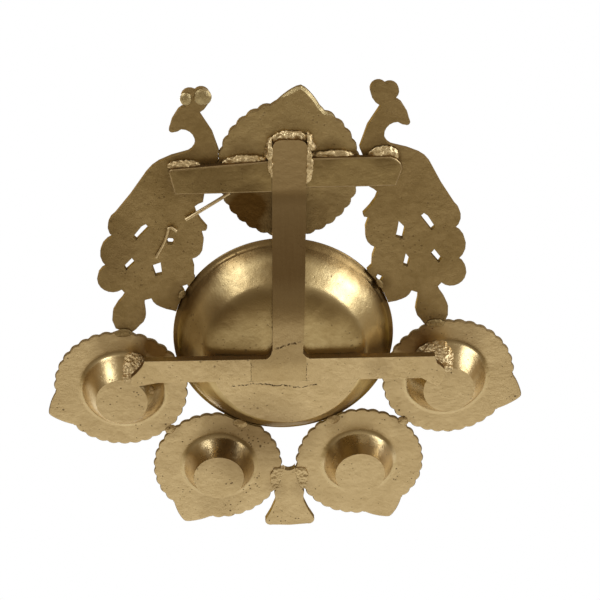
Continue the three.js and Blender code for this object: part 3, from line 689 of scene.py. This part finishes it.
def paint_side_shade(bm, level=0.8):
    """Gives the second finish, which paints shade on the sides, to the faces of the first that aren't as level as this.
    """
    bm.normal_update()
    for face in bm.faces:
        if abs(face.normal.z) < level and face.material_index == 0:
            face.material_index = 1


# Bowl: turned, with a rolled lip, a little uneven from beating

# Its outside from the floor to the lip: two curves, each given by four points, as radius and height in mm
BOWL_CURVES = (
    ((12, 0), (34, 0), (39.6, 0.6), (42.6, 3.9)),
    ((42.6, 3.9), (46.7, 8.6), (51.2, 13.4), (54.2, 18.2)),
)
# Its lip from outside to inside: distance out from the wall and down from the top, in mm
BOWL_LIP = (
    (0.1, 3.4), (0.6, 2.5), (1.4, 1.75), (2.2, 1.2), (2.7, 0.85), (2.95, 0.55), (3.0, 0.3), (2.85, 0.08),
    (2.5, 0), (-1.0, 0), (-1.7, 0.3),
)
# Depth and size of its dents from beating, in mm
BOWL_DENTS = ((0.55, 24), (0.15, 9))
# Thickness, reach of the lip, radius of the flat floor, how far out from it the wall is steep, facets round it,
# steps along each curve outside and inside, and how far below the top it is left undented, in mm
BOWL = {"thick": 2.4, "lip": 3.0, "floor": 34, "steep": 20, "facets": 160, "outside": 15, "inside": 12, "still": 3}


def turned_bowl():
    low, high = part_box("urli_bowl")
    base, top = low[2], high[2]
    wall = (high[0] - low[0]) / 2 - BOWL["lip"] * MM

    def curve(inset, steps):
        points = []
        for ends in BOWL_CURVES:
            for i in range(steps + 1):
                t = i / steps
                share = ((1 - t) ** 3, 3 * t * (1 - t) ** 2, 3 * t * t * (1 - t), t ** 3)
                r, z = (sum(w * end[k] for w, end in zip(share, ends)) for k in (0, 1))
                steep = min(1.0, max(0.0, (r - BOWL["floor"]) / BOWL["steep"]))
                points.append(((r - inset * steep) * MM, base + (z + inset * (1 - steep)) * MM))
        return points

    lip = [(wall + out * MM, top - down * MM) for out, down in BOWL_LIP]
    inside = list(reversed(curve(BOWL["thick"], BOWL["inside"])))
    profile = [(0, base)] + curve(0, BOWL["outside"]) + lip + inside + [(0, base + BOWL["thick"] * MM)]
    bm = bmesh.new()
    line = [bm.verts.new((r, 0, z)) for r, z in profile]
    edges = [bm.edges.new(pair) for pair in zip(line, line[1:])]
    bmesh.ops.spin(bm, geom=line + edges, cent=(0, 0, 0), axis=(0, 0, 1), angle=2 * math.pi, steps=BOWL["facets"],
                   use_merge=True)
    bmesh.ops.remove_doubles(bm, verts=bm.verts, dist=SAME_POINT)
    bmesh.ops.translate(bm, verts=bm.verts, vec=MIDDLE)
    bmesh.ops.recalc_face_normals(bm, faces=bm.faces)
    body = [v for v in bm.verts if v.co.z < top - BOWL["still"] * MM]
    for seed, (depth, size) in enumerate(BOWL_DENTS, 1):
        dent(bm, depth * MM, size * MM, seed, body)
    finish_piece(bm, "urli_bowl", [BEATEN], crisp=60)


# Diyas: a cast leaf with a scalloped edge, and a round cup sunk through it, its bottom ground flat

# The leaf and the cup of a diya, in mm. The leaf tip's spread is in degrees, and the cup's brim starts at a share of
# its wall
DIYA = {"radius": 35.45, "scallops": 34, "scallop": 1.1, "tip": 42.2, "spread": 18.5, "blunt": 1.5, "thick": 2.8}
CUP = {
    "floor": 13.2, "depth": 16.0, "thick": 2.2, "back": 1.5, "brim": 0.86, "flare": 2.6, "corner": 0.4,
    "facets": 272,
}
# Rings of points up the cup's wall outside, round its brim and down its wall inside
CUP_RINGS = {"outside": 13, "brim": 7, "inside": 10}
# Inside the cup: how far its wall is drawn in and its uppermost rings are lowered, in mm, above which ring they are,
# and the floor's thickness as a share of the wall's
CUP_INSIDE = {"drawn": 0.3, "lowered": 0.5, "above": 7, "floor": 0.8}
# Edge of the leaf from below to above: distance in from the outline, and height from the lower or upper face, in mm
EDGE_BELOW = ((6, 0), (1.0, 0), (0.45, 0.1), (0.1, 0.35), (0, 0.7))
EDGE_ABOVE = ((0.1, 1.3), (0.7, 0.5), (1.5, 0.1), (2.2, 0), (6, 0))
# Radius in mm within which a diya is ground or polished, and how level a face is ground, within it and outside it;
# outside it, the less level faces get painted shade
GROUND_RADIUS = 25.5
GROUND_LEVEL = 0.98
LEAF_LEVEL = 0.96
# Depth and size of a diya's dents, and how far above its ground bottom it is left undented, in mm
DIYA_DENTS = (0.16, 9)
DIYA_STILL = 0.4
# Radius in mm to which the leaves' edges were ground away where they meet the bowl
BOWL_RIM = 57.7
# How each diya sits: directions of its tip and its middle in degrees, distance out, what was ground off its cup,
# radius of the cup's mouth, and how far in and down its wall is drawn
SEATS = {
    "side_right": {"tip": -19.9, "bearing": -18.5, "out": 91.45, "ground": 0.2, "mouth": 22, "belly": (3.6, 10.2)},
    "front_right": {"tip": -61.6, "bearing": -65.3, "out": 89.95, "ground": 1.2, "mouth": 20.2, "belly": (4.8, 8.2)},
    "front_left": {"tip": -114.7, "bearing": -116.3, "out": 91.55, "ground": 0.8, "mouth": 20, "belly": (4.6, 8.2)},
    "side_left": {"tip": -161.8, "bearing": -162.3, "out": 91.85, "ground": 0.4, "mouth": 22, "belly": (4.6, 9.0)},
}


def leaf_edge(angle):
    """Distance of a diya's edge from its middle, in mm, at an angle from its tip."""
    angle = (angle + math.pi) % (2 * math.pi) - math.pi
    near = abs(angle) / math.radians(DIYA["spread"])
    body = DIYA["radius"] - DIYA["scallop"]
    if near >= 1:
        return body + DIYA["scallop"] * abs(math.sin(angle * DIYA["scallops"] / 2)) ** 0.8
    blunt = DIYA["blunt"] / DIYA["spread"]
    return DIYA["tip"] + (body - DIYA["tip"]) * (math.hypot(near, blunt) - blunt)


def seat_centre(seat):
    bearing = math.radians(seat["bearing"])
    return MIDDLE + Vector((math.cos(bearing), math.sin(bearing), 0)) * seat["out"] * MM


def next_ring(bm, ring, shape):
    """Extrudes a ring of edges and moves each new point to where shape puts it."""
    made = bmesh.ops.extrude_edge_only(bm, edges=ring)["geom"]
    edges = [e for e in made if isinstance(e, bmesh.types.BMEdge)]
    verts = {v for e in edges for v in e.verts}
    for vert in verts:
        vert.co = shape(vert.co)
    return edges


def oil_lamp(place):
    node = "diya_" + place
    seat = SEATS[place]
    mouth, belly = seat["mouth"], seat["belly"]
    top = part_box(node)[1][2]
    under = top - DIYA["thick"] * MM
    bottom = top - CUP["depth"] * MM
    ground = bottom + seat["ground"] * MM
    back = CUP["back"] * MM

    def cup(radius, z):
        def put(co):
            angle = math.atan2(co.y, co.x + back)
            return Vector((radius * MM * math.cos(angle) - back, radius * MM * math.sin(angle), z))
        return put

    def leaf(inset, z):
        def put(co):
            angle = math.atan2(co.y, co.x)
            radius = (leaf_edge(angle) - inset) * MM
            return Vector((radius * math.cos(angle), radius * math.sin(angle), z))
        return put

    def wall(t, inset=0.0):
        ends = ((CUP["floor"], bottom), (mouth - belly[0], top - belly[1] * MM), (mouth, under))
        share = ((1 - t) ** 2, 2 * t * (1 - t), t * t)
        r, z = (sum(w * end[k] for w, end in zip(share, ends)) for k in (0, 1))
        return r - inset, z + inset * MM * (1 - t) * CUP_INSIDE["floor"]

    bm = bmesh.new()
    start = next(t / 100 for t in range(100) if wall(t / 100)[1] >= ground)
    bmesh.ops.create_circle(bm, cap_ends=True, segments=CUP["facets"], radius=wall(start)[0] * MM)
    bmesh.ops.translate(bm, verts=bm.verts, vec=(-back, 0, ground))
    ring = list(bm.edges)
    for step in range(1, CUP_RINGS["outside"] + 1):
        ring = next_ring(bm, ring, cup(*wall(start + (CUP["brim"] - start) * step / CUP_RINGS["outside"])))
    brim = wall(CUP["brim"])
    for step in range(1, CUP_RINGS["brim"] + 1):
        t = step / CUP_RINGS["brim"]
        radius = brim[0] * (1 - t) ** 2 + mouth * 2 * t * (1 - t) + (mouth + CUP["flare"]) * t * t
        ring = next_ring(bm, ring, cup(radius, under - (under - brim[1]) * (1 - t) ** 2))
    for inset, up in EDGE_BELOW:
        ring = next_ring(bm, ring, leaf(inset, under + up * MM))
    for inset, down in EDGE_ABOVE:
        ring = next_ring(bm, ring, leaf(inset, top - down * MM))
    ring = next_ring(bm, ring, cup(mouth + CUP["corner"], top))
    ring = next_ring(bm, ring, cup(mouth - CUP["corner"], top - 0.3 * MM))
    for step in range(CUP_RINGS["inside"], -1, -1):
        radius, z = wall(step / CUP_RINGS["inside"], CUP["thick"])
        lowered = CUP_INSIDE["lowered"] * MM if step > CUP_INSIDE["above"] else 0
        ring = next_ring(bm, ring, cup(radius - CUP_INSIDE["drawn"], z - lowered))
    bmesh.ops.contextual_create(bm, geom=ring)

    centre = seat_centre(seat)
    turn = Matrix.Rotation(math.radians(seat["tip"]), 4, "Z")
    bmesh.ops.transform(bm, matrix=Matrix.Translation(centre) @ turn, verts=bm.verts)
    for vert in bm.verts:
        away = (vert.co - MIDDLE).xy
        if away.length < BOWL_RIM * MM:
            vert.co.xy = MIDDLE.xy + away.normalized() * (BOWL_RIM * MM)
    bmesh.ops.recalc_face_normals(bm, faces=bm.faces)
    depth, size = DIYA_DENTS
    dent(bm, depth * MM, size * MM, seat["out"], [v for v in bm.verts if v.co.z > ground + DIYA_STILL * MM])
    # The leaf's edges get painted shade
    paint_side_shade(bm, LEAF_LEVEL)
    for face in bm.faces:
        away = (face.calc_center_median() - centre).xy.length
        if away < GROUND_RADIUS * MM:
            face.material_index = 0 if abs(face.normal.z) > GROUND_LEVEL else 2
    finish_piece(bm, node, [GROUND, SKIN_AND_SHADE, POLISHED], crisp=26)


# Plates: cast flat, filed round their edges

# Raised crest lobes of the right peacock: middle and half sizes in mm
HEAD_DOMES = (
    ((36.4, 125.6, 24.6), (4.3, 4.2, 2.0)),
    ((44.3, 124.8, 24.6), (2.9, 3.4, 1.7)),
)
# The tall leaf's tip, filed to a slope: how far down from its point, how far past its middle, and how wide, in mm
FILED_TIP = {"down": 15, "past": 2, "wide": 1.3}
# Radius of the plates' filed corners, in mm, the angle above which a corner is filed, in degrees, and the reach in mm
# within which a plate is closed up to its neighbour
PLATE_CORNER = 0.45
PLATE_SHARP = 55
PLATE_REACH = 1.3


def file_tip(bm, low, high):
    end = (low.x + high.x) / 2 + FILED_TIP["past"] * MM
    tip = [e for e in sharp_edges(bm, PLATE_SHARP) if max(v.co.z for v in e.verts) < low.z + SAME_LEVEL * MM
           and min(v.co.y for v in e.verts) > high.y - FILED_TIP["down"] * MM and max(v.co.x for v in e.verts) < end]
    for face in round_edges(bm, tip, FILED_TIP["wide"], segments=1, clamp=False):
        face.material_index = 2


def filed_plate(node, finish, filed=False, domes=(), neighbours=()):
    bm = flat_copy(node)
    close_seams(bm, neighbours, PLATE_REACH)
    if filed:
        file_tip(bm, *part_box(node))
    round_edges(bm, sharp_edges(bm, PLATE_SHARP), PLATE_CORNER)
    # The plate's sides and filed corners get painted shade
    paint_side_shade(bm)
    plate_faces = set(bm.faces)
    for middle, size in domes:
        place = Matrix.Translation((Vector(middle) * MM).to_3d()) @ Matrix.Diagonal((*(Vector(size) * MM), 1))
        bmesh.ops.create_uvsphere(bm, u_segments=40, v_segments=20, radius=1, matrix=place)
    for face in bm.faces:
        if face not in plate_faces:
            face.material_index = 2
    finish_piece(bm, node, [finish, SKIN_AND_SHADE, CREST], crisp=30)


# Frame bars: flat bar with softened corners, closed up where two bars were brazed flush

# Share of a gap by which each side of it is moved, just over half, and the reach of that for bars, in mm
SEAM_SHARE = 0.52
BAR_REACH = 0.9
# Radius of the bars' and arms' corners in mm, the angle above which a corner is softened, in degrees, the length in mm
# above which a level edge is divided, in so many turns, and how level the faces of a bar's broad sides are
BAR_CORNER = 0.7
ARM_CORNER = 0.9
BAR_SHARP = 50
BAR_LENGTH = 4
BAR_TURNS = 4
BAR_LEVEL = 0.3


def close_seams(bm, neighbours, reach):
    """Moves points within reach of a neighbour, in mm, over half the gap towards it, and returns them."""
    met = set()
    for neighbour in neighbours:
        other = bmesh.new()
        other.from_mesh(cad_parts[neighbour].data)
        tree = BVHTree.FromBMesh(other)
        for vert in bm.verts:
            spot = tree.find_nearest(vert.co, reach * MM)[0]
            if spot is not None and vert not in met:
                vert.co = vert.co.lerp(spot, SEAM_SHARE)
                met.add(vert)
        other.free()
    return met


def bar(node, finish, neighbours, radius=BAR_CORNER, painted_light=False):
    bm = flat_copy(node)
    for turn in range(BAR_TURNS):
        level = [e for e in bm.edges if e.calc_length() > BAR_LENGTH * MM
                 and abs(e.verts[0].co.z - e.verts[1].co.z) < SAME_LEVEL * MM]
        bmesh.ops.subdivide_edges(bm, edges=level, cuts=1)
    met = close_seams(bm, neighbours, BAR_REACH)
    free = [e for e in sharp_edges(bm, BAR_SHARP) if not (e.verts[0] in met and e.verts[1] in met)]
    corners = round_edges(bm, free, radius)
    # The bar's sides get painted shade
    paint_side_shade(bm, BAR_LEVEL)
    # Corners facing down get a painted highlight, where they catch the light
    for face in corners:
        if painted_light and face.normal.z < -BAR_LEVEL:
            face.material_index = 2
    finish_piece(bm, node, [finish, BAR_SIDE_SHADE, EDGE_HIGHLIGHT], crisp=30)


# Braze: run beads with a rough grainy skin

def finer(bm, longest):
    """Splits every edge longer than a length, in mm, until none is left."""
    for turn in range(5):
        long_edges = [e for e in bm.edges if e.calc_length() > longest * MM]
        if not long_edges:
            break
        bmesh.ops.subdivide_edges(bm, edges=long_edges, cuts=1)
        bmesh.ops.triangulate(bm, faces=bm.faces)


# Share of a braze's size that is seen, and how far it is moved, where it was dressed down or ran further
BRAZE_SHAPES = {
    "braze_spine_top": ((1.16, 1.5, 1.0), (0, -1.0, 0)),
    "braze_root_left": ((1.35, 1.8, 1.0), (0, 1.6, 0)),
    "braze_root_right": ((1.35, 1.6, 1.0), (0, 1.0, 0)),
    "braze_cup_right": ((1.05, 0.85, 0.75), (1.2, -1.2, 2)),
    "braze_cup_left": ((1.45, 1.05, 0.85), (-0.6, -0.6, 1.5)),
    "braze_splash_right": ((1.4, 0.8, 0.6), (6, 0.5, -2.5)),
    "braze_arm_leaf_right": ((1.35, 1.2, 1.0), (-1.5, -0.6, 0)),
    "braze_arm_peacock_right": ((1.15, 1.1, 1.0), (0.8, -0.4, 0)),
    "braze_arm_leaf_left": ((2.1, 1.0, 0.8), (-0.5, -0.6, 0)),
    "braze_arm_peacock_left": ((1.15, 1.8, 0.9), (0.3, -0.4, 0)),
    "braze_bowl_side_right": ((0.9, 0.9, 0.5), (0, 0, 1)),
    "braze_bowl_side_left": ((0.9, 0.9, 0.5), (0, 0, 1)),
    "braze_bowl_front_right": ((1.0, 0.9, 0.4), (0, 0, 1.3)),
    "braze_bowl_front_left": ((1.0, 0.9, 0.4), (0, 0, 1.3)),
    "braze_diyas_left": ((0.9, 0.9, 0.5), (0, 0, 1)),
    "braze_diyas_right": ((0.9, 0.9, 0.5), (0, 0, 1)),
    "braze_tail_diya_left": ((1.0, 0.9, 0.45), (0, 0, 0.6)),
    "braze_tail_diya_right": ((1.0, 0.9, 0.45), (0, 0, 0.6)),
    "braze_tail_bowl_left": ((0.7, 0.7, 0.6), (0, 0, 0.5)),
    "braze_tail_bowl_right": ((0.7, 0.7, 0.6), (0, 0, 0.5)),
}
# Patches of braze between the finial and the front diyas: heights of their faces, and outlines, in mm
WEB_HEIGHTS = (24.5, 27.4)
FINIAL_WEBS = {
    "braze_finial_right": ((1.2, -91.6), (3.5, -91.1), (7.2, -91.5), (9.2, -95), (9.6, -101), (8.2, -105.6), (5, -107),
                           (1.5, -104)),
    "braze_finial_left": ((-4, -91.8), (-6.6, -91.3), (-10.2, -92), (-11.6, -96), (-11.4, -101.5), (-9.6, -105.6),
                          (-6.6, -106.8), (-4.2, -104)),
}


def web(outline, low, high):
    """A flat patch of braze, by its outline."""
    bm = bmesh.new()
    face = bm.faces.new([bm.verts.new((x * MM, y * MM, high * MM)) for x, y in outline])
    made = bmesh.ops.extrude_face_region(bm, geom=[face])["geom"]
    lower = [v for v in made if isinstance(v, bmesh.types.BMVert)]
    bmesh.ops.translate(bm, verts=lower, vec=(0, 0, (low - high) * MM))
    bmesh.ops.recalc_face_normals(bm, faces=bm.faces)
    return bm


# A lump's hold on its cup: height of the cup's bottom and rise of its wall in mm, how round the wall is taken to be,
# thickness of the lump on it in mm, and share that is kept of what stands further out
HUG = {"bottom": 12, "rise": 13.2, "round": 0.6, "thick": 0.8, "kept": 0.3}


def hug_cup(bm, place):
    """Draws a lump in to the wall of the cup it was run against."""
    seat = SEATS[place]
    tip = math.radians(seat["tip"])
    centre = seat_centre(seat) - Vector((math.cos(tip), math.sin(tip), 0)) * CUP["back"] * MM
    skin = HUG["thick"] * MM
    for vert in bm.verts:
        away = (vert.co - centre).xy
        up = min(1.0, max(0.0, (vert.co.z - HUG["bottom"] * MM) / (HUG["rise"] * MM)))
        wall = (CUP["floor"] + (seat["mouth"] - CUP["floor"]) * up ** HUG["round"]) * MM
        if away.length > wall + skin:
            near = wall + skin + (away.length - wall - skin) * HUG["kept"]
            vert.co.xy = centre.xy + away.normalized() * near


# How deep braze is dented, in mm: run beads, and the spills and webs that were dressed down
RUN_DENTS = 0.5
DRESSED_DENTS = 0.25
# Its three sizes of dents: share of that depth, size in mm, and step of the seed
BRAZE_DENTS = ((1.2, 3.2, 0), (1.0, 1.3, 5), (0.4, 0.6, 9))
# Longest edge of its mesh in mm, and how often it is smoothed first
BRAZE_EDGE = 0.6
BRAZE_SMOOTHED = 3


def braze(node, seed):
    finish, depth = BRAZE, RUN_DENTS
    if node in FINIAL_WEBS:
        bm = web(FINIAL_WEBS[node], *WEB_HEIGHTS)
        finish, depth = GROUND, DRESSED_DENTS
    else:
        bm = merged_copy(node)
    bmesh.ops.triangulate(bm, faces=bm.faces)
    finer(bm, BRAZE_EDGE)
    if node in BRAZE_SHAPES:
        share, move = BRAZE_SHAPES[node]
        low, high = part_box(node)
        middle = (low + high) / 2
        for vert in bm.verts:
            off = vert.co - middle
            vert.co = middle + Vector((off.x * share[0], off.y * share[1], off.z * share[2])) + Vector(move) * MM
        if not node.startswith(("braze_arm", "braze_cup", "braze_spine", "braze_root")):
            finish, depth = (DULL_SPILL if node.startswith("braze_tail") else SPILL), DRESSED_DENTS
    if node.startswith("braze_cup"):
        hug_cup(bm, "side" + node[len("braze_cup"):])
    for turn in range(BRAZE_SMOOTHED):
        bmesh.ops.smooth_vert(bm, verts=bm.verts, factor=0.5, use_axis_x=True, use_axis_y=True, use_axis_z=True)
    for share, size, step in BRAZE_DENTS:
        dent(bm, depth * share * MM, size * MM, seed + step)
    finish_piece(bm, node, [finish], crisp=70)


def rod(node):
    finish_piece(merged_copy(node), node, [BRAZE], crisp=50)


def all_pieces():
    turned_bowl()
    for place in SEATS:
        oil_lamp(place)
    filed_plate("back_leaf", LEAF_CAST, filed=True)
    filed_plate("peacock_left", CAST)
    filed_plate("peacock_right", CAST, domes=HEAD_DOMES, neighbours=("back_leaf",))
    filed_plate("bell_finial", GROUND)
    bar("spine_bar", SPINE, ("lower_crossbar_left", "lower_crossbar_right", "base_pad"), painted_light=True)
    bar("lower_crossbar_left", BAR, ("spine_bar", "base_pad"))
    bar("lower_crossbar_right", BAR, ("spine_bar", "base_pad"))
    bar("base_pad", BAR, ("spine_bar", "lower_crossbar_left", "lower_crossbar_right"))
    bar("upper_arm_left", DULL_BAR, ("spine_bar",), ARM_CORNER, painted_light=True)
    bar("upper_arm_right", DULL_BAR, ("spine_bar",), ARM_CORNER, painted_light=True)
    for seed, node in enumerate(sorted(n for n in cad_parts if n.startswith("braze_"))):
        braze(node, seed)
    rod("brace_rod")
    rod("repair_wire")


camera()
world_light()
floor()
for name, (place, size, power) in SOFTBOXES.items():
    softbox(name, place, size, power)
all_pieces()

bpy.context.scene.view_settings.view_transform = "Standard"
